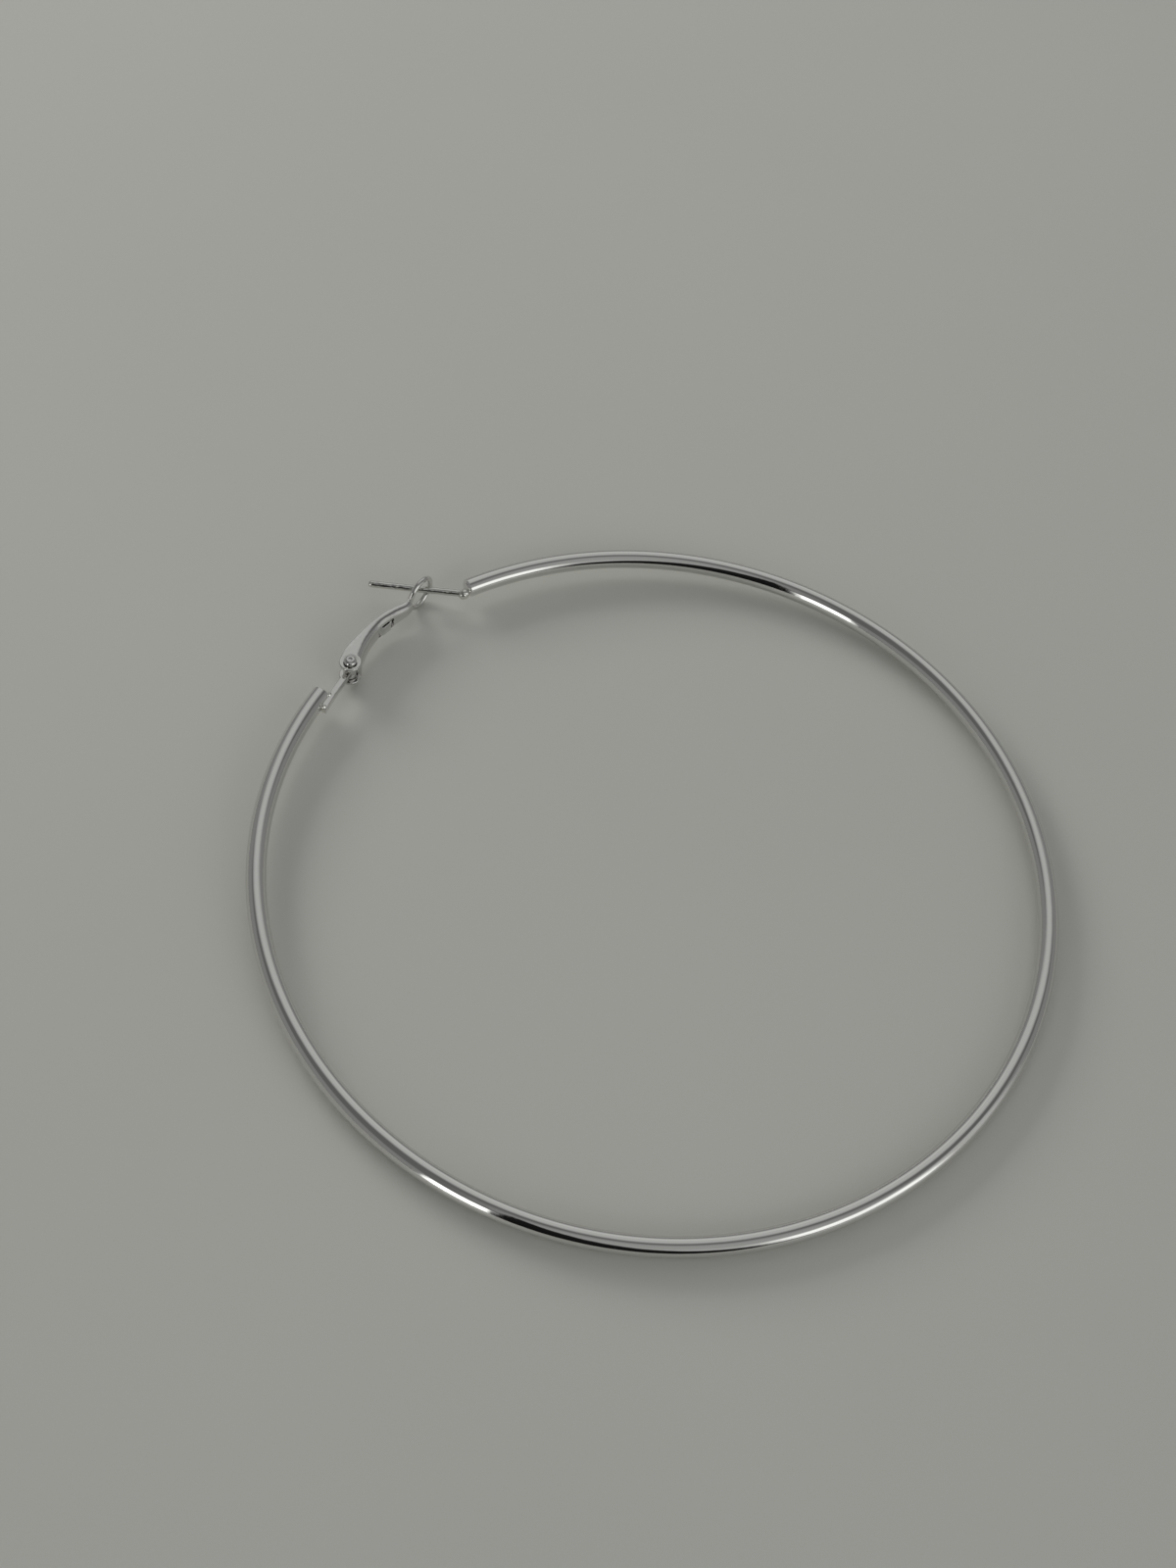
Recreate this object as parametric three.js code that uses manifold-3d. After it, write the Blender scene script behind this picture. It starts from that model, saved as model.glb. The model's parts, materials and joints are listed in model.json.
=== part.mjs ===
// Hoop earring with a hinged omega clip, lying on its side. Millimetres, +Z up.
// The hoop is first laid out flat about the origin, its wire centred on z = 0, with the middle
// of its opening on +Y, the hinge end at -X and the post end at +X. layDown() then tips it onto
// the two places that it really rests on, and turns the opening towards -X +Y.
import * as THREE from 'three';
import { mergeVertices } from 'three/addons/utils/BufferGeometryUtils.js';
import Module from 'manifold-3d';

const wasm = await Module();
wasm.setup();

// ---- driving dimensions ----
const HOOP_OUTER_D = 80;
const WIRE_D = 2.0;
const WIRE_SIDES = 24; // one side faces straight down, and gives the hoop its flat
const HOOP_STEPS = 132;
const OPENING_DEG = 30; // between the two ends of the wire
const END_ROUND = 0.3; // rounding of the wire's cut ends

const POST_D = 0.72;
const POST_BASE = [9.5, 37.28];
const POST_TIP = [2.8, 44.98];
const BEAD_D = 1.16; // solder bead that joins the post to the wire's end
const BEAD_C = [9.58, 37.3];

const PIVOT = [-6.05, 38.0]; // where the hinge rivet's axis crosses the hoop's plane
const LOBE_R = 0.74; // round end of the tab, between the lever's cheeks
const LOBE_T = 1.6;
const TAB_T = 0.85;
const TAB_W = 0.62;
const TAB_R = [38.28, 37.76]; // radius of the tab's middle, at the rivet and at its rear end
const TAB_REAR_DEG = 17.8; // its square rear end, measured from the middle of the opening

const RIVET_D = 0.8;
const RIVET_HEAD_D = 1.35;
const RIVET_HEAD_H = 0.4;
const PRESS_GAP = 0.02; // rivet shank to the tab's hole
const RUN_GAP = 0.05; // rivet shank to the lever's holes, and head to cheek

const SHEET_T = 0.35; // the sheet that the lever is pressed from
const BEND_R = 0.8; // outside of the bends between the lever's back and its cheeks
const BOSS_R = 1.15; // rounded end of each cheek, round the rivet
const LEVER_W = 2.6; // over its two cheeks
const NECK_W = 1.75; // over the same where it meets the loop
const TAPER_X = [0.2, 4.0]; // where the lever narrows from the one to the other
// The lever from the rivet to the loop: X, Y of its back's face and how high the cheeks stand.
const LEVER_LINE = [[-5.42, 36.98, 2.34], [-4.3, 37.9, 1.98], [-2.4, 38.86, 1.3], [-0.3, 39.4, 0.98],
  [1.6, 39.46, 0.9], [3.2, 39.32, 0.88], [4.05, 39.5, 0.8], [4.42, 40.0, 0.55]];

const LOOP_C = [6.02, 40.46]; // centre of the loop that catches the post
const LOOP_DEG = 10; // its diameter in the hoop's plane, from +X
const LOOP_OUTER_D = 4.1;
const LOOP_STRAND_D = 0.58;

const LEAF_T = 0.12;
const LEAF_W = 1.2;
const LEAF_GAP = 0.1; // leaf to the lever's back, on either side
const LEAF_FROM = 0.115; // where the leaf starts and ends, as shares of the back's length
const LEAF_TO = 0.79;
const SLOT_AT = [0.515, 0.66]; // the two slots it is threaded through, as shares of the same
const SLOT_W = 0.5;
const SLOT_LONG = 1.5;

const R = (HOOP_OUTER_D - WIRE_D) / 2;
const rad = THREE.MathUtils.degToRad;

// ---- solids ----
function solid(geometry) {
  const g = geometry.clone();
  g.deleteAttribute('normal');
  g.deleteAttribute('uv');
  const m = mergeVertices(g, 1e-5);
  const vertProperties = new Float32Array(m.attributes.position.array);
  const triVerts = new Uint32Array(m.index.array);
  const made = new wasm.Manifold(new wasm.Mesh({ numProp: 3, vertProperties, triVerts }));
  if (made.volume() > 0) return made;
  for (let i = 0; i < triVerts.length; i += 3) {
    [triVerts[i], triVerts[i + 1]] = [triVerts[i + 1], triVerts[i]];
  }
  return new wasm.Manifold(new wasm.Mesh({ numProp: 3, vertProperties, triVerts }));
}

// A closed skin over rings of equal length. Its end caps are fans, or for rings folded back on
// themselves, as a U is, strips that join each point to its opposite.
function loft(rings, folded = false) {
  const n = rings[0].length;
  const index = [];
  const quad = (a, b, c, d) => index.push(a, b, d, b, c, d);
  for (let i = 0; i + 1 < rings.length; i++) {
    for (let k = 0; k < n; k++) {
      const a = i * n + k;
      const b = i * n + ((k + 1) % n);
      quad(a, b, b + n, a + n);
    }
  }
  const last = (rings.length - 1) * n;
  if (folded) {
    for (let k = 0; k + 1 < n / 2; k++) {
      quad(n - 1 - k, n - 2 - k, k + 1, k);
      quad(last + k, last + k + 1, last + n - 2 - k, last + n - 1 - k);
    }
  } else {
    for (let k = 1; k + 1 < n; k++) index.push(0, k + 1, k, last, last + k, last + k + 1);
  }
  const g = new THREE.BufferGeometry().setFromPoints(rings.flat());
  g.setIndex(index);
  return g;
}

// An outline in the hoop's plane, given a thickness centred on that plane.
function slab(outline, thickness) {
  const shape = new THREE.Shape(outline);
  const g = new THREE.ExtrudeGeometry(shape, { depth: thickness, bevelEnabled: false });
  return solid(g.translate(0, 0, -thickness / 2));
}

function disc([x, y], r, thickness, sides = 48) {
  const g = new THREE.CylinderGeometry(r, r, thickness, sides);
  return solid(g.rotateX(Math.PI / 2).translate(x, y, 0));
}

const at = (pairs) => pairs.map(([x, y]) => new THREE.Vector2(x, y));

// ---- the lever's back, as a line to measure along and to stand off from ----
const backCurve = new THREE.SplineCurve(at(LEVER_LINE));
backCurve.arcLengthDivisions = 400;
const cheekCurve = new THREE.SplineCurve(at(LEVER_LINE.map(([, , h], i) => [i, h])));

function offBack(share, off) {
  const p = backCurve.getPointAt(share);
  const t = backCurve.getTangentAt(share);
  return new THREE.Vector2(p.x - t.y * off, p.y + t.x * off);
}

function alongBack(from, to, steps, off) {
  const out = [];
  for (let i = 0; i <= steps; i++) {
    const s = from + ((to - from) * i) / steps;
    out.push(offBack(s, typeof off === 'function' ? off(s) : off));
  }
  return out;
}

// ---- hoop: wire, tab, post and bead, soldered into one ----
function wire() {
  const from = rad(90 + OPENING_DEG / 2);
  const to = rad(450 - OPENING_DEG / 2);
  const r = WIRE_D / 2;
  const ring = (angle, across) => {
    const out = [];
    for (let k = 0; k < WIRE_SIDES; k++) {
      const q = -Math.PI / 2 - ((k + 0.5) * 2 * Math.PI) / WIRE_SIDES;
      const c = across / Math.cos(Math.PI / WIRE_SIDES);
      const d = R + c * Math.cos(q);
      out.push(new THREE.Vector3(d * Math.cos(angle), d * Math.sin(angle), c * Math.sin(q)));
    }
    return out;
  };
  const end = [0, 30, 60].map(rad).map((q) => ({
    inset: (END_ROUND * (1 - Math.cos(q))) / R,
    across: r - END_ROUND * (1 - Math.sin(q)),
  }));
  const rings = end.map((e) => ring(from + e.inset, e.across));
  const first = from + END_ROUND / R;
  const last = to - END_ROUND / R;
  for (let i = 0; i <= HOOP_STEPS; i++) rings.push(ring(first + ((last - first) * i) / HOOP_STEPS, r));
  for (const e of end.reverse()) rings.push(ring(to - e.inset, e.across));
  return solid(loft(rings));
}

function tab() {
  const near = THREE.MathUtils.radToDeg(Math.atan2(-PIVOT[0], PIVOT[1]));
  const steps = 10;
  const side = (off) => {
    const out = [];
    for (let i = 0; i <= steps; i++) {
      const a = rad(90 + THREE.MathUtils.lerp(near, TAB_REAR_DEG, i / steps));
      const d = THREE.MathUtils.lerp(...TAB_R, i / steps) + off;
      out.push([d * Math.cos(a), d * Math.sin(a)]);
    }
    return out;
  };
  const strip = at([...side(TAB_W / 2), ...side(-TAB_W / 2).reverse()]);
  return slab(strip, TAB_T).add(disc(PIVOT, LOBE_R, LOBE_T));
}

function post() {
  const from = new THREE.Vector3(...POST_BASE, 0);
  const to = new THREE.Vector3(...POST_TIP, 0);
  const long = from.distanceTo(to);
  const r = POST_D / 2;
  const profile = [new THREE.Vector2(0, 0), new THREE.Vector2(r, 0)];
  for (let i = 0; i <= 5; i++) {
    const q = (i * Math.PI) / 10;
    profile.push(new THREE.Vector2(i === 5 ? 0 : r * Math.cos(q), long - r + r * Math.sin(q)));
  }
  const g = new THREE.LatheGeometry(profile, 24);
  const dir = to.clone().sub(from).normalize();
  g.applyQuaternion(new THREE.Quaternion().setFromUnitVectors(new THREE.Vector3(0, 1, 0), dir));
  return solid(g.translate(from.x, from.y, 0));
}

function hoop() {
  const bead = new THREE.SphereGeometry(BEAD_D / 2, 24, 16).translate(...BEAD_C, 0);
  return wire()
    .add(tab())
    .add(post())
    .add(solid(bead))
    .subtract(disc(PIVOT, RIVET_D / 2 + PRESS_GAP, LEVER_W));
}

// ---- hinge rivet, domed at both ends ----
function rivet() {
  const shank = RIVET_D / 2;
  const under = LEVER_W / 2 + RUN_GAP;
  const head = RIVET_HEAD_D / 2;
  const half = [];
  for (let i = 0; i <= 8; i++) {
    const q = (i * Math.PI) / 16;
    half.push([head * Math.cos(q), under + RIVET_HEAD_H * Math.sin(q)]);
  }
  half[8][0] = 0;
  const up = [[shank, under], ...half];
  const down = up.map(([x, y]) => [x, -y]).reverse();
  const g = new THREE.LatheGeometry(at([...down, ...up]), 40);
  return solid(g.rotateX(Math.PI / 2).translate(...PIVOT, 0));
}

// ---- clip: pressed lever with its loop, and the leaf threaded through its back ----
// Half of the lever's U section, as height off the back's face and Z, from a cheek's free edge
// down the outside to the middle of the back, and up the inside again.
function halfSection(wide, cheek) {
  const out = [[cheek, wide]];
  const bend = (r, w, flat) => {
    for (let i = 0; i <= 6; i++) {
      const q = (i * Math.PI) / 12;
      out.push([flat + r * (1 - Math.sin(q)), w - r * (1 - Math.cos(q))]);
    }
  };
  bend(BEND_R < cheek ? BEND_R : cheek - 0.01, wide, 0);
  const turn = out.length;
  bend(Math.min(BEND_R, cheek - 0.01) - SHEET_T, wide - SHEET_T, SHEET_T);
  const inside = out.splice(turn).reverse();
  return { outside: out, inside: [...inside, [cheek, wide - SHEET_T]] };
}

function leverRing(share) {
  const p = backCurve.getPointAt(share);
  const t = backCurve.getTangentAt(share);
  const cheek = cheekCurve.getPoint(backCurve.getUtoTmapping(share)).y;
  const narrow = THREE.MathUtils.smoothstep(p.x, ...TAPER_X);
  const wide = THREE.MathUtils.lerp(LEVER_W, NECK_W, narrow) / 2;
  const { outside, inside } = halfSection(wide, cheek);
  const flip = (list) => list.map(([h, z]) => [h, -z]).reverse();
  const section = [...outside, ...flip(outside), ...flip(inside), ...inside];
  return section.map(([h, z]) => new THREE.Vector3(p.x - t.y * h, p.y + t.x * h, z));
}

// A loft over U sections, whose end caps follow the U rather than fan across its mouth.
function leverChannel() {
  const rings = [];
  for (let i = 0; i <= 48; i++) rings.push(leverRing(i / 48));
  return solid(loft(rings, true));
}

function cheekEnd(side) {
  const plate = disc(PIVOT, BOSS_R, SHEET_T);
  return plate.translate([0, 0, (side * (LEVER_W - SHEET_T)) / 2]);
}

function slotCutter(share) {
  const p = backCurve.getPointAt(share);
  const t = backCurve.getTangentAt(share);
  const g = new THREE.BoxGeometry(SLOT_W, 4 * SHEET_T, SLOT_LONG);
  return solid(g.rotateZ(Math.atan2(t.y, t.x)).translate(p.x, p.y, 0));
}

function leverLoop() {
  const ringR = (LOOP_OUTER_D - LOOP_STRAND_D) / 2;
  const g = new THREE.TorusGeometry(ringR, LOOP_STRAND_D / 2, 16, 48);
  return solid(g.rotateX(Math.PI / 2).rotateZ(rad(LOOP_DEG)).translate(...LOOP_C, 0));
}

function lever() {
  let made = leverChannel().add(cheekEnd(1)).add(cheekEnd(-1));
  for (const share of SLOT_AT) made = made.subtract(slotCutter(share));
  return made.add(leverLoop()).subtract(disc(PIVOT, RIVET_D / 2 + RUN_GAP, 2 * LEVER_W));
}

// Height of the leaf's middle off the back: inside, out through one slot, back through the next.
function leafRise(share) {
  const inside = SHEET_T + LEAF_GAP + LEAF_T / 2;
  const outside = -LEAF_GAP - LEAF_T / 2;
  const half = 0.36 / backCurve.getLength();
  const step = (at0) => THREE.MathUtils.smoothstep(share, at0 - half, at0 + half);
  return inside + (outside - inside) * (step(SLOT_AT[0]) - step(SLOT_AT[1]));
}

function leaf() {
  const middle = alongBack(LEAF_FROM, LEAF_TO, 90, leafRise);
  const left = [];
  const right = [];
  middle.forEach((p, i) => {
    const a = middle[Math.max(i - 1, 0)];
    const b = middle[Math.min(i + 1, middle.length - 1)];
    const t = b.clone().sub(a).normalize().multiplyScalar(LEAF_T / 2);
    left.push(new THREE.Vector2(p.x - t.y, p.y + t.x));
    right.push(new THREE.Vector2(p.x + t.y, p.y - t.x));
  });
  return slab([...right, ...left.reverse()], LEAF_W);
}

// ---- assembly ----
// Tips the hoop onto the loop's underside and the far side of the wire, and turns it.
function layDown() {
  const drop = (LOOP_OUTER_D - WIRE_D) / 2;
  const reach = Math.hypot(...LOOP_C);
  const axis = new THREE.Vector3(LOOP_C[1] / reach, -LOOP_C[0] / reach, 0);
  const tip = new THREE.Matrix4().makeRotationAxis(axis, Math.atan(drop / (R + reach)));
  return new THREE.Matrix4().makeRotationZ(rad(45)).multiply(tip);
}

function piece(name, made, colour, roughness) {
  const mesh = made.getMesh();
  const g = new THREE.BufferGeometry();
  g.setAttribute('position', new THREE.BufferAttribute(new Float32Array(mesh.vertProperties), 3));
  g.setIndex(new THREE.BufferAttribute(new Uint32Array(mesh.triVerts), 1));
  g.applyMatrix4(layDown());
  const material = new THREE.MeshStandardMaterial({ color: colour, roughness, metalness: 1 });
  const out = new THREE.Mesh(g, material);
  out.name = name;
  return out;
}

const earring = new THREE.Group();
earring.name = 'hoop_earring';
earring.add(piece('hoop', hoop(), 0xc9cacb, 0.12));
earring.add(piece('hinge_rivet', rivet(), 0xc4c5c6, 0.15));
earring.add(piece('clip_lever', lever(), 0xbfc0c2, 0.18));
earring.add(piece('spring_leaf', leaf(), 0xb4b6b8, 0.22));

// The origin goes under the middle of the whole, at the height of its lowest point.
const box = new THREE.Box3().setFromObject(earring);
for (const m of earring.children) {
  m.geometry.translate(-(box.min.x + box.max.x) / 2, -(box.min.y + box.max.y) / 2, -box.min.z);
}

export default earring;
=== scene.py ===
# %% [markdown]
# # A hoop earring with a hinged clip
# A big round earring of 2 mm polished wire lies on its side on a pale table. One end of the wire
# carries a short hinge tab, the other a slanted ear post. A pressed lever turns on the tab's
# rivet, and the loop on its end catches the post. Everything here is metal, so the shapes have
# to be right down to the rounding of their edges: a mirror shows every facet.

import json
import math

import bmesh
import bpy
from mathutils import Matrix, Vector


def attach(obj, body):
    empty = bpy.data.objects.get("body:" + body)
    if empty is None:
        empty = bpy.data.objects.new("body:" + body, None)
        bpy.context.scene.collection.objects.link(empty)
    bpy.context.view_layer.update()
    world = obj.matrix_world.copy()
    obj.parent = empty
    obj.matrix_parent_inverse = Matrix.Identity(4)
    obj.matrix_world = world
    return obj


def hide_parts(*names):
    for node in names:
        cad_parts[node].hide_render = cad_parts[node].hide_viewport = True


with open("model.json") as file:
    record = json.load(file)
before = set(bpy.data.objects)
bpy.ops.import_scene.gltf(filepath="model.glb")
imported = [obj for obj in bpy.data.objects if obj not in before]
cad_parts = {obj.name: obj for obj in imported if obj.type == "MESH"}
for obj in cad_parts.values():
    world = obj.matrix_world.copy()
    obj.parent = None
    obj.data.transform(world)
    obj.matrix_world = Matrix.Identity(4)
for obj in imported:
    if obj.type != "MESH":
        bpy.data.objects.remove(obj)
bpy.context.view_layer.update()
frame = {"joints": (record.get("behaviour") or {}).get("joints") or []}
MM = 0.001

# %% [markdown]
# ## Two frames
# It is easiest to draw the earring flat, with the hoop's centre at the origin and the middle of
# its opening on +Y. On the table it lies tipped by under a degree, because the loop is wider than
# the wire and props that side up, and the opening looks towards -X +Y. One matrix takes the flat
# drawing to where the earring lies. The hinge in the frame tells where that is: its axis is the
# hoop's own axis, and its place is the rivet's.

# %% From the flat drawing to where it lies
PIVOT = Vector((-6.05, 38.0, 0.0))  # the rivet in the flat drawing, mm

hinge = next(j for j in frame["joints"] if j["name"] == "clip_hinge")
hoop_axis = Vector(hinge["axis"]).normalized()
tip_over = Vector((0, 0, 1)).rotation_difference(hoop_axis).to_matrix().to_4x4()
turn = Matrix.Rotation(math.radians(45), 4, "Z")
lay = tip_over @ turn
lay = Matrix.Translation(Vector(hinge["pos_m"]) / MM - lay @ PIVOT) @ lay
lay = Matrix.Diagonal((MM, MM, MM, 1)) @ lay
print("hoop tipped by", round(math.degrees(hoop_axis.angle((0, 0, 1))), 2), "degrees")


# %% [markdown]
# ## Small helpers
# A finished piece is a plain mesh whose place is in its vertices. It rides on its body, takes its
# finish from a slot, and stands for the CAD node it replaces.

# %% Helpers for pieces
def collect(obj):
    bpy.context.scene.collection.objects.link(obj)
    return obj


def bake(obj, name):
    """The evaluated object as a plain mesh of its own; the working object goes."""
    graph = bpy.context.evaluated_depsgraph_get()
    mesh = bpy.data.meshes.new_from_object(obj.evaluated_get(graph))
    mesh.transform(obj.matrix_world)
    bpy.data.objects.remove(obj)
    return collect(bpy.data.objects.new(name, mesh))


def from_bmesh(bm, name):
    mesh = bpy.data.meshes.new(name)
    bm.to_mesh(mesh)
    bm.free()
    return collect(bpy.data.objects.new(name, mesh))


def smooth(obj, degrees):
    """Smooth faces, with edges sharper than this kept crisp."""
    mesh = obj.data
    mesh.polygons.foreach_set("use_smooth", [True] * len(mesh.polygons))
    mesh.set_sharp_from_angle(angle=math.radians(degrees))
    mesh.update()


def join_solid(first, *others, cut=()):
    """Boolean union of solids, less the cutters, as one mesh."""
    for other in others:
        mod = first.modifiers.new("union", "BOOLEAN")
        mod.object, mod.operation, mod.solver = other, "UNION", "EXACT"
    for other in cut:
        mod = first.modifiers.new("cut", "BOOLEAN")
        mod.object, mod.operation, mod.solver = other, "DIFFERENCE", "EXACT"
    name = first.name
    made = bake(first, name)
    for other in (*others, *cut):
        bpy.data.objects.remove(other)
    return made


def place(obj, body, nodes=(), sharp=40):
    obj.data.transform(lay)
    smooth(obj, sharp)
    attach(obj, body)
    if nodes:
        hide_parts(*nodes)
    print(obj.name, "faces:", len(obj.data.polygons))
    return obj


# %% Helpers for closed shapes
def loft(bm, rings, caps="fan"):
    """A closed skin over rings of equal length. Folded rings, as a U is, get strip caps."""
    grid = [[bm.verts.new(p) for p in ring] for ring in rings]
    n = len(grid[0])
    for a, b in zip(grid, grid[1:]):
        for k in range(n):
            bm.faces.new((a[k], a[(k + 1) % n], b[(k + 1) % n], b[k]))
    for ring in (grid[0][::-1], grid[-1]):
        if caps == "fan":
            bm.faces.new(ring)
        else:
            for k in range(n // 2 - 1):
                bm.faces.new((ring[k], ring[k + 1], ring[n - 2 - k], ring[n - 1 - k]))
    bmesh.ops.recalc_face_normals(bm, faces=bm.faces)


def angles_round(steps):
    return [k * (2 * math.pi / steps) for k in range(steps)]


def circle(centre, side, up, r, steps):
    """Points round a circle in the plane of side and up."""
    return [centre + side * r * math.cos(a) + up * r * math.sin(a) for a in angles_round(steps)]


def round_outline(centre, r, steps):
    """The same in the hoop's plane, as the outline of a slab."""
    return [(centre.x + r * math.cos(a), centre.y + r * math.sin(a)) for a in angles_round(steps)]


def turned(name, centre, axis, profile, steps=48):
    """A solid of revolution: profile is pairs of radius and height along the axis."""
    axis = Vector(axis).normalized()
    side = axis.orthogonal().normalized()
    up = axis.cross(side)
    bm = bmesh.new()
    rings = [circle(Vector(centre) + axis * h, side, up, max(r, 0.004), steps) for r, h in profile]
    loft(bm, rings)
    return from_bmesh(bm, name)


def slab(name, outline, thickness, bevel=0.0, segments=2):
    """An outline in the hoop's plane given a thickness, with its rims rounded."""
    bm = bmesh.new()
    low = [Vector((x, y, -thickness / 2)) for x, y in outline]
    high = [Vector((x, y, thickness / 2)) for x, y in outline]
    loft(bm, [low, high])
    if bevel:
        flat = [f for f in bm.faces if abs(f.normal.z) > 0.9]
        rim = [e for f in flat for e in f.edges]
        bmesh.ops.bevel(bm, geom=rim, offset=bevel, segments=segments, profile=0.5, affect="EDGES")
    return from_bmesh(bm, name)


# %% [markdown]
# ## Material nodes
# One function adds a node, sets its fields and links its inputs, and every finish is written
# with it. Colours are given as the sRGB hex values that an eye would pick.

# %% Helpers for materials
def linear(hex_colour):
    def channel(v):
        return v / 12.92 if v <= 0.04045 else ((v + 0.055) / 1.055) ** 2.4

    return tuple(channel(int(hex_colour[i : i + 2], 16) / 255) for i in (1, 3, 5)) + (1.0,)


def node(tree, kind, settings=None, **inputs):
    """Adds a node. Settings are its fields; an input is a value, or a socket or node to link from."""
    made = tree.nodes.new(kind)
    for field, value in (settings or {}).items():
        setattr(made, field, value)
    for key, value in inputs.items():
        numbered = key[0] == "i" and key[1:].isdigit()
        socket = made.inputs[int(key[1:]) if numbered else key.replace("_", " ")]
        if isinstance(value, bpy.types.Node):
            value = value.outputs[0]
        if isinstance(value, bpy.types.NodeSocket):
            tree.links.new(value, socket)
        else:
            socket.default_value = value
    return made


def new_material(name):
    mat = bpy.data.materials.new(name)
    mat.use_nodes = True
    mat.node_tree.nodes.clear()
    return mat, mat.node_tree


# %% [markdown]
# ## Polished wire
# The hoop is drawn stainless wire, buffed on a wheel after bending. The eye gets an almost
# perfect mirror from it, with long soft streaks where the wheel ran round the hoop, and a few
# shallow dents that make the highlights wander. Drawing lines are a few hundredths of a
# millimetre apart, too fine to show, so the streaks are drawn about 0.2 mm apart.

# %% Finish: buffed stainless wire
def metal(name, colour, rough, rough_swing, streak_mm, wave_mm, dent_mm):
    mat, tree = new_material(name)
    place_of = node(tree, "ShaderNodeTexCoord").outputs["Object"]
    streak = node(
        tree, "ShaderNodeTexNoise", {"noise_dimensions": "3D"},
        Vector=place_of, Scale=1 / (streak_mm * MM), Detail=4.0, Roughness=0.6,
    )
    wave = node(
        tree, "ShaderNodeTexNoise", {"noise_dimensions": "3D"},
        Vector=place_of, Scale=1 / (wave_mm * MM), Detail=2.0, Roughness=0.5,
    )
    gloss = node(
        tree, "ShaderNodeMapRange", {"clamp": True},
        Value=streak.outputs["Fac"], From_Min=0.35, From_Max=0.75,
        To_Min=rough, To_Max=rough + rough_swing,
    )
    fine = node(
        tree, "ShaderNodeBump", Strength=0.02, Distance=0.01 * MM, Height=streak.outputs["Fac"],
    )
    bump = node(
        tree, "ShaderNodeBump",
        Strength=1.0, Distance=dent_mm * MM, Height=wave.outputs["Fac"], Normal=fine.outputs["Normal"],
    )
    shader = node(
        tree, "ShaderNodeBsdfPrincipled", Base_Color=linear(colour), Metallic=1.0,
        Roughness=gloss.outputs["Result"], Normal=bump.outputs["Normal"],
    )
    node(tree, "ShaderNodeOutputMaterial", Surface=shader.outputs["BSDF"])
    return mat


# a near mirror, with long soft streaks from the wheel
buffed_wire = metal(
    "buffed stainless wire", "#E2E1DF",
    rough=0.03, rough_swing=0.06, streak_mm=0.2, wave_mm=2.2, dent_mm=0.014,
)
# a mirror too, with marks so fine that only the edge of a highlight shows them
turned_steel = metal(
    "turned and polished steel", "#DCDCDA",
    rough=0.04, rough_swing=0.06, streak_mm=0.12, wave_mm=0.6, dent_mm=0.012,
)
# small dents all over, which break the light into dark and bright spots
plated_post = metal(
    "plated ear wire, dented by wear", "#DADAD6",
    rough=0.05, rough_swing=0.08, streak_mm=0.12, wave_mm=0.55, dent_mm=0.07,
)
# tumbling leaves faint ripples, so the flat cheeks mirror one tone with soft edges
tumbled_sheet = metal(
    "tumble polished sheet steel", "#DEDDDB",
    rough=0.05, rough_swing=0.07, streak_mm=0.15, wave_mm=0.9, dent_mm=0.03,
)
# even, and a little duller than the rest, as it came from the rolls
spring_strip = metal(
    "bright rolled spring steel", "#E0E0DE",
    rough=0.07, rough_swing=0.08, streak_mm=0.1, wave_mm=0.8, dent_mm=0.01,
)
# lumpy, so that each bead catches a few bright points
silver_solder = metal(
    "silver solder", "#E2E2DC",
    rough=0.05, rough_swing=0.08, streak_mm=0.1, wave_mm=0.35, dent_mm=0.05,
)
print("finishes:", [m.name for m in bpy.data.materials])

# %% [markdown]
# ## The wire
# The main piece follows a rule: a round section swept along an arc. It could be a torus with a
# bite cut out, but Geometry Nodes give it directly. A spline circle is trimmed to the arc, and
# the radius of the curve falls off in a quarter round over the last 0.3 mm at each end, because
# the cut wire was rounded on a wheel. Curve to Mesh sweeps the section and closes the ends.

# %% Geometry Nodes: a bent wire with rounded ends
HOOP_R = 39.0
WIRE_R = 1.0
OPENING = 30.0
END_ROUND = 0.3


def add_socket(tree, name, kind, default):
    made = tree.interface.new_socket(name, in_out="INPUT", socket_type=kind)
    if default is not None:
        made.default_value = default
    return made


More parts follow.
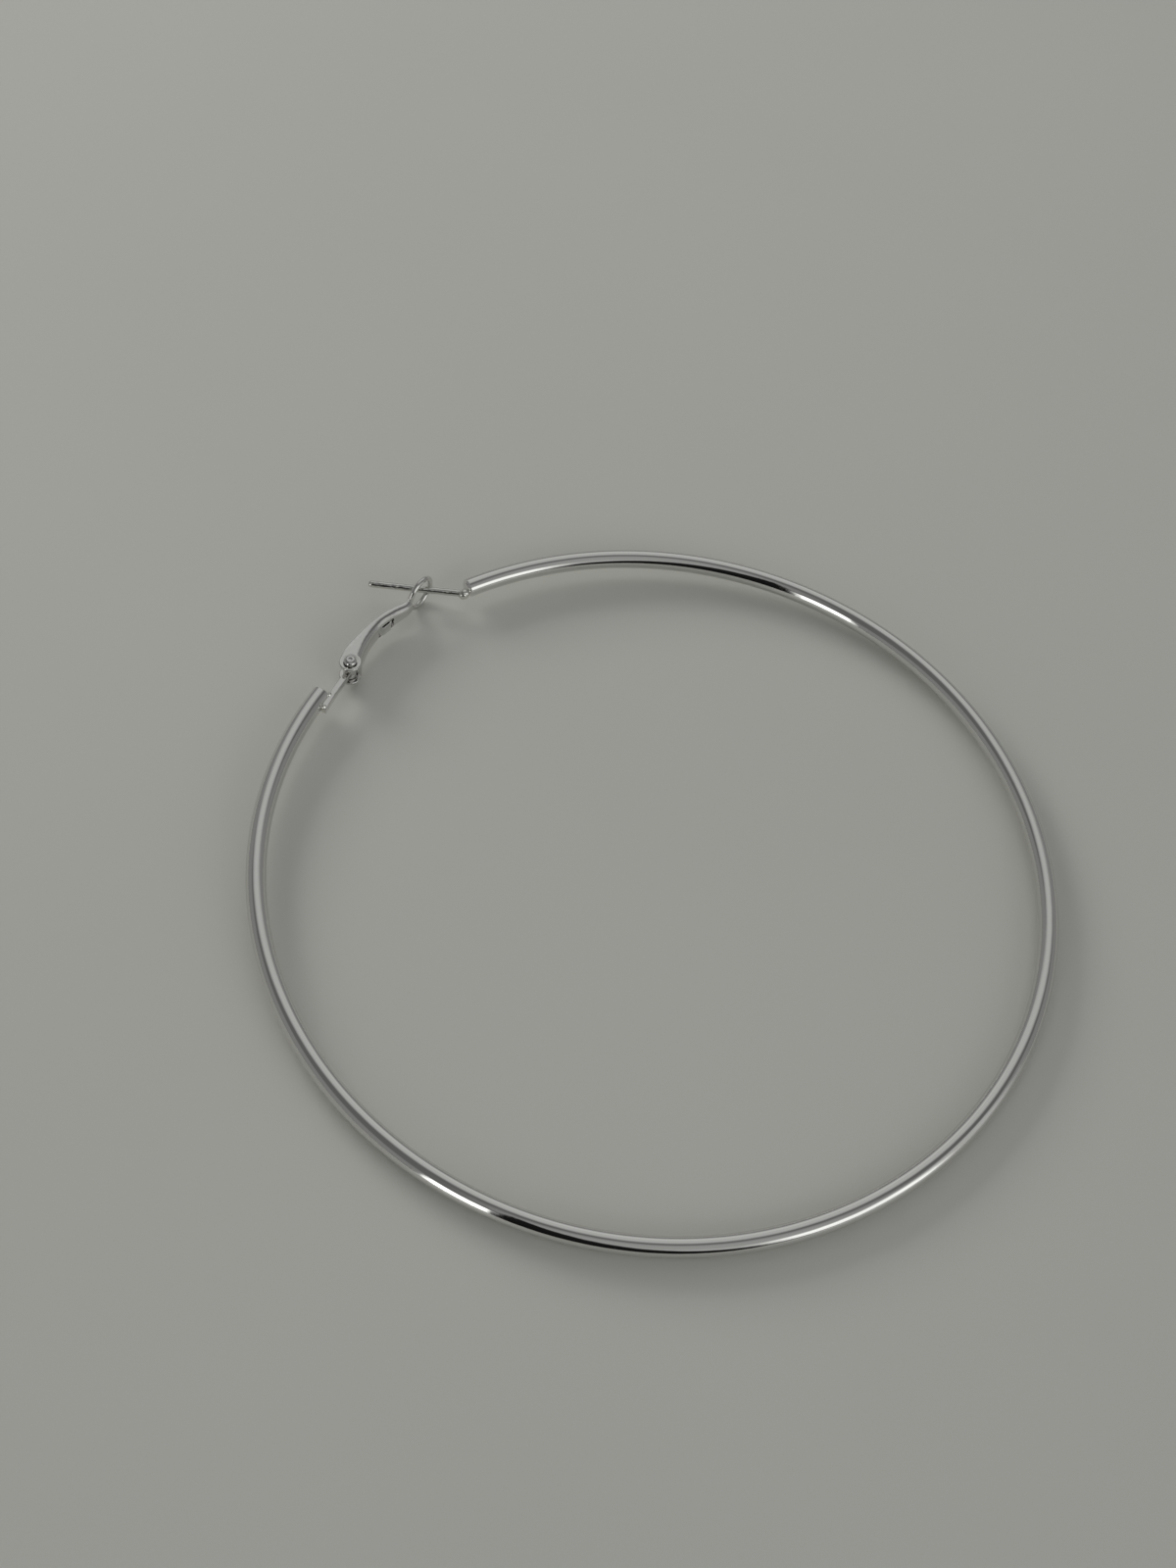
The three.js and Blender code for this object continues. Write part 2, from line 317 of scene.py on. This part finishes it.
def wire_tree():
    tree = bpy.data.node_groups.new("bent wire", "GeometryNodeTree")
    add_socket(tree, "Centreline radius", "NodeSocketFloat", HOOP_R)
    add_socket(tree, "Wire radius", "NodeSocketFloat", WIRE_R)
    add_socket(tree, "Opening", "NodeSocketFloat", math.radians(OPENING))
    add_socket(tree, "End rounding", "NodeSocketFloat", END_ROUND)
    add_socket(tree, "Steps", "NodeSocketInt", 900)
    add_socket(tree, "Sides", "NodeSocketInt", 72)
    add_socket(tree, "Finish", "NodeSocketMaterial", None)
    tree.interface.new_socket("Geometry", in_out="OUTPUT", socket_type="NodeSocketGeometry")
    given = node(tree, "NodeGroupInput").outputs

    # an arc that starts half the opening past +Y and goes round to half the opening before it
    start = node(
        tree, "ShaderNodeMath", {"operation": "MULTIPLY_ADD"}, i0=given["Opening"], i1=0.5, i2=math.pi / 2,
    )
    sweep = node(tree, "ShaderNodeMath", {"operation": "SUBTRACT"}, i0=2 * math.pi, i1=given["Opening"])
    arc = node(
        tree, "GeometryNodeCurveArc", {"mode": "RADIUS"},
        Resolution=given["Steps"], Radius=given["Centreline radius"], Start_Angle=start, Sweep_Angle=sweep,
    )
    # distance to the nearer end, as a share of the rounding
    along = node(tree, "GeometryNodeSplineParameter").outputs["Length"]
    length = node(tree, "GeometryNodeCurveLength", Curve=arc)
    left_over = node(tree, "ShaderNodeMath", {"operation": "SUBTRACT"}, i0=length, i1=along)
    nearer = node(tree, "ShaderNodeMath", {"operation": "MINIMUM"}, i0=along, i1=left_over)
    share = node(tree, "ShaderNodeMath", {"operation": "DIVIDE"}, i0=nearer, i1=given["End rounding"])
    share = node(tree, "ShaderNodeMath", {"operation": "MINIMUM"}, i0=share, i1=1.0)
    # quarter round: 1 - (1 - sqrt(1 - (1 - share)^2)) * rounding / wire radius
    back = node(tree, "ShaderNodeMath", {"operation": "SUBTRACT"}, i0=1.0, i1=share)
    square = node(tree, "ShaderNodeMath", {"operation": "MULTIPLY"}, i0=back, i1=back)
    rest = node(tree, "ShaderNodeMath", {"operation": "SUBTRACT"}, i0=1.0, i1=square)
    rise = node(tree, "ShaderNodeMath", {"operation": "SQRT"}, i0=rest)
    fall = node(tree, "ShaderNodeMath", {"operation": "SUBTRACT"}, i0=1.0, i1=rise)
    lost = node(tree, "ShaderNodeMath", {"operation": "MULTIPLY"}, i0=fall, i1=given["End rounding"])
    lost = node(tree, "ShaderNodeMath", {"operation": "DIVIDE"}, i0=lost, i1=given["Wire radius"])
    size = node(tree, "ShaderNodeMath", {"operation": "SUBTRACT"}, i0=1.0, i1=lost)
    section = node(
        tree, "GeometryNodeCurvePrimitiveCircle", {"mode": "RADIUS"},
        Resolution=given["Sides"], Radius=given["Wire radius"],
    )
    sized = node(tree, "GeometryNodeSetCurveRadius", Curve=arc, Radius=size)
    skin = node(tree, "GeometryNodeCurveToMesh", Curve=sized, Profile_Curve=section, Fill_Caps=True)
    if "Scale" in skin.inputs:
        # where the node has this input, it is what the section follows instead of the radius
        tree.links.new(size.outputs[0], skin.inputs["Scale"])
    real = node(tree, "GeometryNodeRealizeInstances", Geometry=skin)
    done = node(tree, "GeometryNodeSetMaterial", Geometry=real, Material=given["Finish"])
    node(tree, "NodeGroupOutput", Geometry=done)
    return tree


def set_input(modifier, name, value):
    """A modifier's input is set by its identifier, which is not the name that people see."""
    for item in modifier.node_group.interface.items_tree:
        if item.item_type == "SOCKET" and item.in_out == "INPUT" and item.name == name:
            modifier[item.identifier] = value
            return
    raise KeyError(name)


# %% Sweep the wire
seed = collect(bpy.data.objects.new("wire_seed", bpy.data.meshes.new("wire_seed")))
sweep_mod = seed.modifiers.new("bent wire", "NODES")
sweep_mod.node_group = wire_tree()
set_input(sweep_mod, "Opening", math.radians(OPENING))
set_input(sweep_mod, "End rounding", END_ROUND)
set_input(sweep_mod, "Finish", buffed_wire)
wire = bake(seed, "wire")
bm = bmesh.new()
bm.from_mesh(wire.data)
bmesh.ops.remove_doubles(bm, verts=bm.verts, dist=0.0005)
bmesh.ops.recalc_face_normals(bm, faces=bm.faces)
bm.to_mesh(wire.data)
bm.free()
size = [round(v, 2) for v in wire.dimensions]
print("wire swept, mm:", size, "faces:", len(wire.data.polygons))

# %% [markdown]
# ## Hinge tab, post and solder
# A flat strip is soldered along the inside of the wire's end, and its round end takes the rivet.
# The post is a straight ear wire with a domed tip, and a bead of solder holds it to the other
# end. They are one metal body with the wire. Here they stay meshes of their own, sunk a little
# into each other where solder joins them, so that the wire keeps its even faces and its clean
# reflections.

# %% The tab along the inside of the wire
TAB_FROM = math.degrees(math.atan2(-PIVOT.x, PIVOT.y))
TAB_TO = 17.8
TAB_R = (38.28, 37.76)
TAB_W = 0.62
TAB_T = 0.85
EYE_R = 0.74
EYE_T = 1.6
SHANK_R = 0.4  # the rivet's shank
PRESS_GAP = 0.02  # to the tab's hole, which it sits tight in
RUN_GAP = 0.05  # to the lever's holes, which turn on it


def through_hole(r, steps):
    """A cutter on the rivet's axis that goes through everything."""
    return turned("hole", PIVOT - Vector((0, 0, 2)), (0, 0, 1), [(r, 0), (r, 4)], steps)


def tab_side(off, steps=16):
    out = []
    for i in range(steps + 1):
        s = i / steps
        a = math.radians(90 + TAB_FROM + (TAB_TO - TAB_FROM) * s)
        r = TAB_R[0] + (TAB_R[1] - TAB_R[0]) * s + off
        out.append((r * math.cos(a), r * math.sin(a)))
    return out


tab = slab("hinge_tab", tab_side(TAB_W / 2) + tab_side(-TAB_W / 2)[::-1], TAB_T, bevel=0.07)
eye = slab("tab_eye", round_outline(PIVOT, EYE_R, 48), EYE_T, bevel=0.06)
tab = join_solid(tab, eye, cut=[through_hole(SHANK_R + PRESS_GAP, 48)])
tab.data.materials.clear()
tab.data.materials.append(tumbled_sheet)


# %% Post with its bead
POST_BASE = Vector((9.5, 37.28, 0))
POST_TIP = Vector((2.8, 44.98, 0))
POST_R = 0.36
post_long = (POST_TIP - POST_BASE).length
rise = [k * math.pi / 16 for k in range(9)]
dome = [(POST_R * math.cos(a), post_long - POST_R + POST_R * math.sin(a)) for a in rise]
profile = [(POST_R, 0), (POST_R, post_long / 2), *dome]
post = turned("ear_post", POST_BASE, POST_TIP - POST_BASE, profile, 32)
post.data.materials.append(plated_post)
print("post length, mm:", round(post_long, 2))


def blob(name, centre, radii, mat):
    """A bead of solder: a ball, stretched and a little uneven."""
    bm = bmesh.new()
    bmesh.ops.create_uvsphere(bm, u_segments=32, v_segments=20, radius=1)
    for v in bm.verts:
        uneven = 1 + 0.04 * math.sin(7 * v.co.x + 3 * v.co.z) * math.cos(5 * v.co.y)
        v.co = v.co * Vector(radii) * uneven + Vector(centre)
    made = from_bmesh(bm, name)
    made.data.materials.append(mat)
    return made


post_bead = blob("post_solder", (9.42, 37.28, 0), (0.66, 0.54, 0.58), silver_solder)
tab_solder = [
    blob("tab_solder_end", (-10.0, 36.83, 0.12), (0.36, 0.32, 0.5), silver_solder),
    blob("tab_solder_rear", (-11.38, 36.08, 0.1), (0.34, 0.34, 0.52), silver_solder),
]

# %% Hand the hoop's pieces over
place(wire, "ring", ["hoop"], sharp=30)
for obj in (tab, post, post_bead, *tab_solder):
    place(obj, "ring", ["hoop"])

# %% [markdown]
# ## The rivet
# A rivet is turned, so it is a profile spun about its axis: a shank, and a domed head on each
# side. The punch that spread each head left a small dimple in it, which is what makes so small
# a head read as a ring of light with a dark dot.

# %% Spin the rivet
HEAD_R = 0.675
HEAD_H = 0.4
UNDER_HEAD = 1.35
quarter = [k * math.pi / 20 for k in range(8)]
head = [(HEAD_R * math.cos(q) ** 0.8, UNDER_HEAD + 0.05 + (HEAD_H - 0.05) * math.sin(q)) for q in quarter]
DIMPLE = [(0.27, -0.03), (0.19, -0.06), (0.1, -0.095), (0.0, -0.105)]  # radius, depth from the top
dimple = [(r, UNDER_HEAD + HEAD_H + h) for r, h in DIMPLE]
upper = [(SHANK_R, UNDER_HEAD), (HEAD_R - 0.03, UNDER_HEAD), *head, *dimple]
profile = [(r, -h) for r, h in reversed(upper)] + upper
rivet = turned("rivet", PIVOT, (0, 0, 1), profile, 64)
rivet.data.materials.append(turned_steel)
place(rivet, "ring", ["hinge_rivet"])

# %% [markdown]
# ## The lever
# The lever is pressed from 0.35 mm sheet: a U that narrows towards its neck, with rounded bends,
# two cheeks that stand high round the rivet and run down to a low rim, and a loop on its end.
# It could be carved from a block, but a loft over U sections gives the rounded bends at once.
# One table gives the line of its back and how high the cheeks stand off it.

# %% The lever's line
LEVER_LINE = [
    (-5.42, 36.98, 2.34), (-4.3, 37.9, 1.98), (-2.4, 38.86, 1.3), (-0.3, 39.4, 0.98),
    (1.6, 39.46, 0.9), (3.2, 39.32, 0.88), (4.05, 39.5, 0.8), (4.42, 40.0, 0.55),
]
SHEET = 0.35
BEND = 0.8
LEVER_W = 2.6
NECK_W = 1.75
TAPER = (0.2, 4.0)  # X where the lever narrows from the one width to the other
RIM = 0.09  # rounding of the sheet's edges
BACK_STEPS = 200
FINE_STEPS = 1600


def catmull(a, b, c, d, t):
    """The smooth cubic between b and c, from its neighbours too."""
    square = a - b * 2.5 + c * 2 - d * 0.5
    cube = (b - c) * 1.5 + (d - a) * 0.5
    return b + (c - a) * 0.5 * t + square * t**2 + cube * t**3


def line_at(u):
    """Point of the line, with the cheek's height as Z, at u from 0 to 1 along its points."""
    last = len(LEVER_LINE) - 1
    i = min(int(u * last), last - 1)
    t = u * last - i
    p = [Vector(LEVER_LINE[min(max(k, 0), last)]) for k in (i - 1, i, i + 1, i + 2)]
    return catmull(*p, t)


def even_line(steps):
    """Points evenly spaced by distance: place, tangent and cheek height."""
    fine = [line_at(k / FINE_STEPS) for k in range(FINE_STEPS + 1)]
    run = [0.0]
    for a, b in zip(fine, fine[1:]):
        run.append(run[-1] + (b - a).xy.length)
    out, k = [], 0
    for i in range(steps + 1):
        while k < FINE_STEPS - 1 and run[k + 1] < run[-1] * i / steps:
            k += 1
        tangent = (fine[min(k + 2, FINE_STEPS)] - fine[max(k - 1, 0)]).xy.normalized()
        out.append((fine[k].xy, tangent, fine[k].z))
    return out, run[-1]


back_line, back_long = even_line(BACK_STEPS)
print("lever back, mm:", round(back_long, 2))


def off_back(share, off):
    p, t, _ = back_line[min(round(share * BACK_STEPS), BACK_STEPS)]
    return Vector((p.x - t.y * off, p.y + t.x * off))


# %% Loft the channel
def ease(x, lo, hi):
    t = min(max((x - lo) / (hi - lo), 0.0), 1.0)
    return t * t * (3 - 2 * t)


def u_section(wide, cheek, rim=RIM):
    """The U as pairs of height off the back and Z: round the outside, then back inside."""
    bend = min(BEND, cheek - 2 * rim)
    corner = [math.pi / 2, math.pi / 4, 0.0]
    edge = [(cheek - rim * (1 - math.sin(q)), wide - rim * (1 - math.cos(q))) for q in corner]
    quarter = [k * math.pi / 20 for k in range(11)]

    def bent(r, z, floor):
        return [(floor + r * (1 - math.sin(q)), z - r * (1 - math.cos(q))) for q in quarter]

    outside = edge + bent(bend, wide, 0.0)
    inner_edge = [(h, 2 * wide - SHEET - z) for h, z in edge[::-1]]
    inside = bent(bend - SHEET, wide - SHEET, SHEET)[::-1] + inner_edge

    def flip(points):
        return [(h, -z) for h, z in reversed(points)]

    return outside + flip(outside) + flip(inside) + inside


def lever_ring(i):
    p, t, cheek = back_line[i]
    wide = (LEVER_W + (NECK_W - LEVER_W) * ease(p.x, *TAPER)) / 2
    return [Vector((p.x - t.y * h, p.y + t.x * h, z)) for h, z in u_section(wide, cheek)]


def channel():
    bm = bmesh.new()
    loft(bm, [lever_ring(i) for i in range(0, BACK_STEPS + 1, 2)], caps="strip")
    return from_bmesh(bm, "lever")


# %% Round cheek ends, slots and the loop
CHEEK_R = 1.15  # round end of each cheek
DISH = [(0.6, 1.19), (0.98, 1.302), (0.98, 1.5)]  # radius and height of the dish in its face


def cheek_end(side):
    made = slab("cheek_end", round_outline(PIVOT, CHEEK_R, 64), SHEET, bevel=RIM, segments=3)
    made.data.transform(Matrix.Translation((0, 0, side * (LEVER_W - SHEET) / 2)))
    return made


def dish_cutter(side):
    """A shallow cone that sinks the cheek's face round the rivet's head."""
    return turned("dish", PIVOT, (0, 0, side), DISH, 64)


def slot_cutter(share, wide=0.62, tall=1.5):
    """A box with rounded ends that goes through the back, square to it."""
    p, t, _ = back_line[round(share * BACK_STEPS)]
    straight = tall / 2 - wide / 2
    ends = []
    for side in (1, -1):
        for k in range(9):
            q = k * math.pi / 8
            ends.append((side * wide / 2 * math.cos(q), side * (straight + wide / 2 * math.sin(q))))
    along = Vector((t.x, t.y, 0))
    out = Vector((-t.y, t.x, 0))
    bm = bmesh.new()
    foot = [Vector((p.x, p.y, 0)) + along * a + Vector((0, 0, b)) for a, b in ends]
    loft(bm, [[v - out * 0.7 for v in foot], [v + out * 0.7 for v in foot]])
    return from_bmesh(bm, "slot")


LOOP_C = Vector((6.02, 40.46, 0))
LOOP_TURN = math.radians(10)
LOOP_D = 4.1
STRAND_D = 0.58


def wire_ring(name, steps=128, sides=32):
    across = Vector((math.cos(LOOP_TURN), math.sin(LOOP_TURN), 0))
    up = Vector((0, 0, 1))
    big, small = (LOOP_D - STRAND_D) / 2, STRAND_D / 2
    bm = bmesh.new()
    grid = []
    for k in range(steps):
        q = 2 * math.pi * k / steps
        out = across * math.cos(q) + up * math.sin(q)
        ring = circle(LOOP_C + out * big, out, across.cross(up), small, sides)
        grid.append([bm.verts.new(p) for p in ring])
    for a, b in zip(grid, grid[1:] + grid[:1]):
        for k in range(sides):
            bm.faces.new((a[k], a[(k + 1) % sides], b[(k + 1) % sides], b[k]))
    bmesh.ops.recalc_face_normals(bm, faces=bm.faces)
    return from_bmesh(bm, name)


SLOTS = (0.515, 0.66)  # where the leaf goes through, as shares of the back
SLOT_MIDDLES = (0.509, 0.666)  # the slots reach a little past it, and show as dark gaps
holes = [slot_cutter(s) for s in SLOT_MIDDLES]
holes += [dish_cutter(1), dish_cutter(-1), through_hole(SHANK_R + RUN_GAP, 64)]
lever = join_solid(channel(), cheek_end(1), cheek_end(-1), wire_ring("loop"), cut=holes)
lever.data.materials.clear()
lever.data.materials.append(tumbled_sheet)
place(lever, "clip", ["clip_lever"], sharp=32)

# %% [markdown]
# ## The spring leaf
# A thin strip of spring steel lies in the channel. It goes out through one slot in the lever's
# back and in again through the next, which is what holds it. Its outline is walked along the
# back at a changing height, and the strip gets its width as one slab.

# %% Thread the leaf
LEAF_T = 0.12
LEAF_W = 1.2
LEAF_GAP = 0.1  # to the lever's back, on either side
LEAF_ENDS = (0.115, 0.79)  # as shares of the lever's back
CROSSING = 0.72  # how far along the back the leaf takes to go through it


def leaf_rise(share):
    inside = SHEET + LEAF_GAP + LEAF_T / 2
    outside = -LEAF_GAP - LEAF_T / 2
    half = CROSSING / 2 / back_long
    steps = [ease(share, s - half, s + half) for s in SLOTS]
    return inside + (outside - inside) * (steps[0] - steps[1])


first, last = (round(share * BACK_STEPS) for share in LEAF_ENDS)
middle = [off_back(i / BACK_STEPS, leaf_rise(i / BACK_STEPS)) for i in range(first, last + 1)]
left, right = [], []
for i, p in enumerate(middle):
    t = (middle[min(i + 1, len(middle) - 1)] - middle[max(i - 1, 0)]).normalized() * LEAF_T / 2
    left.append((p.x - t.y, p.y + t.x))
    right.append((p.x + t.y, p.y - t.x))
leaf = slab("leaf", right + left[::-1], LEAF_W, bevel=0.03)
leaf.data.materials.append(spring_strip)
place(leaf, "clip", ["spring_leaf"])

# %% [markdown]
# ## Table, light and camera
# The table is a pale matt board. Polished metal only shows what stands round it, so the world is
# a plain room drawn in azimuth and elevation: grey walls, a dim ceiling with a soft glow on the
# far side and another on the near side, two bright windows low on the near side, and one dark
# figure between them. On the wire they turn into the long streaks and the thin black line that say chrome. A
# lamp at the far left lights the board and gives the shadows; it is kept out of the reflections.

# %% The table
floor_mat, tree = new_material("matt painted board")
spot = node(tree, "ShaderNodeTexCoord").outputs["Object"]
patchy = node(tree, "ShaderNodeTexNoise", Vector=spot, Scale=9.0, Detail=3.0, Roughness=0.5)
tone = node(tree, "ShaderNodeMapRange", Value=patchy.outputs["Fac"], From_Min=0.3, From_Max=0.7)
paint = node(tree, "ShaderNodeMix", {"data_type": "RGBA"}, Factor=tone.outputs["Result"])
paint.inputs["A"].default_value = linear("#DBDCD6")
paint.inputs["B"].default_value = linear("#E0E0DB")
grain = node(tree, "ShaderNodeTexNoise", Vector=spot, Scale=1 / (0.5 * MM), Detail=3.0)
relief = node(tree, "ShaderNodeBump", Strength=0.1, Distance=0.02 * MM, Height=grain.outputs["Fac"])
board = node(
    tree, "ShaderNodeBsdfPrincipled",
    Base_Color=paint.outputs["Result"], Roughness=0.5, Normal=relief.outputs["Normal"],
)
node(tree, "ShaderNodeOutputMaterial", Surface=board.outputs["BSDF"])

bm = bmesh.new()
bmesh.ops.create_grid(bm, x_segments=1, y_segments=1, size=1.5)
floor = from_bmesh(bm, "table")
floor.data.materials.append(floor_mat)

# %% The room, as the metal sees it
world = bpy.data.worlds.new("plain room")
bpy.context.scene.world = world
world.use_nodes = True
room = world.node_tree
room.nodes.clear()


look = node(room, "ShaderNodeTexCoord").outputs["Generated"]
axes = node(room, "ShaderNodeSeparateXYZ", Vector=look).outputs
azimuth = node(room, "ShaderNodeMath", {"operation": "ARCTAN2"}, i0=axes["Y"], i1=axes["X"])
elevation = node(room, "ShaderNodeMath", {"operation": "ARCSINE"}, i0=axes["Z"])


def overlap(one, other):
    """Where both shares hold."""
    return node(room, "ShaderNodeMath", {"operation": "MULTIPLY"}, i0=one, i1=other)


def edge_of(value, start, end):
    """0 before start and 1 after end, eased; it falls instead where end is below start."""
    return node(
        room, "ShaderNodeMapRange", {"interpolation_type": "SMOOTHSTEP"},
        Value=value, From_Min=start, From_Max=end,
    )


def band(value, low, high, soft):
    """1 between low and high. The angles are in degrees, as in all that follows."""
    low, high, soft = (math.radians(a) for a in (low, high, soft))
    return overlap(edge_of(value, low - soft, low + soft), edge_of(value, high + soft, high - soft))


def patch(azimuths, elevations, soft):
    return overlap(band(azimuth, *azimuths, soft), band(elevation, *elevations, soft))


def glow(azimuth_to, elevation_to, inner, outer):
    """A round patch about a direction: full within the inner angle, nothing past the outer."""
    a, e = math.radians(azimuth_to), math.radians(elevation_to)
    towards = (math.cos(a) * math.cos(e), math.sin(a) * math.cos(e), math.sin(e))
    near = node(room, "ShaderNodeVectorMath", {"operation": "DOT_PRODUCT"}, i0=look, i1=towards)
    return edge_of(near.outputs["Value"], math.cos(math.radians(outer)), math.cos(math.radians(inner)))


def darker(light, where, share):
    kept = node(room, "ShaderNodeMath", {"operation": "MULTIPLY_ADD"}, i0=where, i1=-share, i2=1.0)
    return node(room, "ShaderNodeMath", {"operation": "MULTIPLY"}, i0=light, i1=kept)


def brighter(light, where, amount):
    return node(room, "ShaderNodeMath", {"operation": "MULTIPLY_ADD"}, i0=where, i1=amount, i2=light)


WALLS = 0.23
OVERHEAD = 0.13
above = edge_of(elevation, math.radians(36), math.radians(46))
light = darker(WALLS, above, 1 - OVERHEAD / WALLS)
light = brighter(light, glow(85, 48, 10, 38), 0.37)
light = brighter(light, glow(-70, 52, 12, 42), 0.22)
light = brighter(light, patch((-30, -2), (0, 46), 7), 0.25)
# the figure: upright on its left, and sloping down to its right
SLOPE = 0.85  # degrees down for each degree to the right
FIGURE_AT = -110  # azimuth where the slope starts
tilted = node(room, "ShaderNodeMath", {"operation": "MULTIPLY_ADD"}, i0=azimuth, i1=SLOPE, i2=elevation)
slope = node(room, "ShaderNodeMath", {"operation": "SUBTRACT"}, i0=tilted, i1=SLOPE * math.radians(FIGURE_AT))
left_edge = edge_of(azimuth, math.radians(-121), math.radians(-117))
sloping_edge = edge_of(slope, math.radians(61), math.radians(52))
right_end = edge_of(azimuth, math.radians(-40), math.radians(-60))
light = darker(light, overlap(overlap(left_edge, sloping_edge), right_end), 0.97)
light = brighter(light, patch((-135, -121), (-6, 36), 2.5), 1.9)
light = brighter(light, patch((-60, -24), (6, 36), 7), 0.95)
sky = node(room, "ShaderNodeBackground", Color=linear("#FBFCFA"), Strength=light)
node(room, "ShaderNodeOutputWorld", Surface=sky.outputs["Background"])


def soft_box(name, at, aim, size, watts):
    """An area lamp that lights surfaces, and that the metal doesn't mirror."""
    lamp = bpy.data.lights.new(name, "AREA")
    lamp.shape, lamp.size, lamp.size_y, lamp.energy = "RECTANGLE", size[0], size[1], watts
    lamp.color = linear("#FFFDF8")[:3]
    obj = collect(bpy.data.objects.new(name, lamp))
    obj.location = at
    obj.rotation_euler = (Vector(aim) - Vector(at)).to_track_quat("-Z", "Y").to_euler()
    obj.visible_glossy = False
    return obj


soft_box("lamp", at=(-0.5, 0.55, 0.27), aim=(0, 0, 0), size=(0.4, 0.25), watts=2.2)

# %% The camera
camera = bpy.data.cameras.new("camera")
camera.lens = 51.96
camera.clip_start = 0.01
eye_point = collect(bpy.data.objects.new("camera", camera))
eye_point.location = (-0.023233, -0.116322, 0.189964)
eye_point.rotation_euler = [math.radians(a) for a in (33.747, -4.739, -0.412)]
scene = bpy.context.scene
scene.camera = eye_point
scene.view_settings.view_transform = "Standard"
scene.view_settings.look = "None"
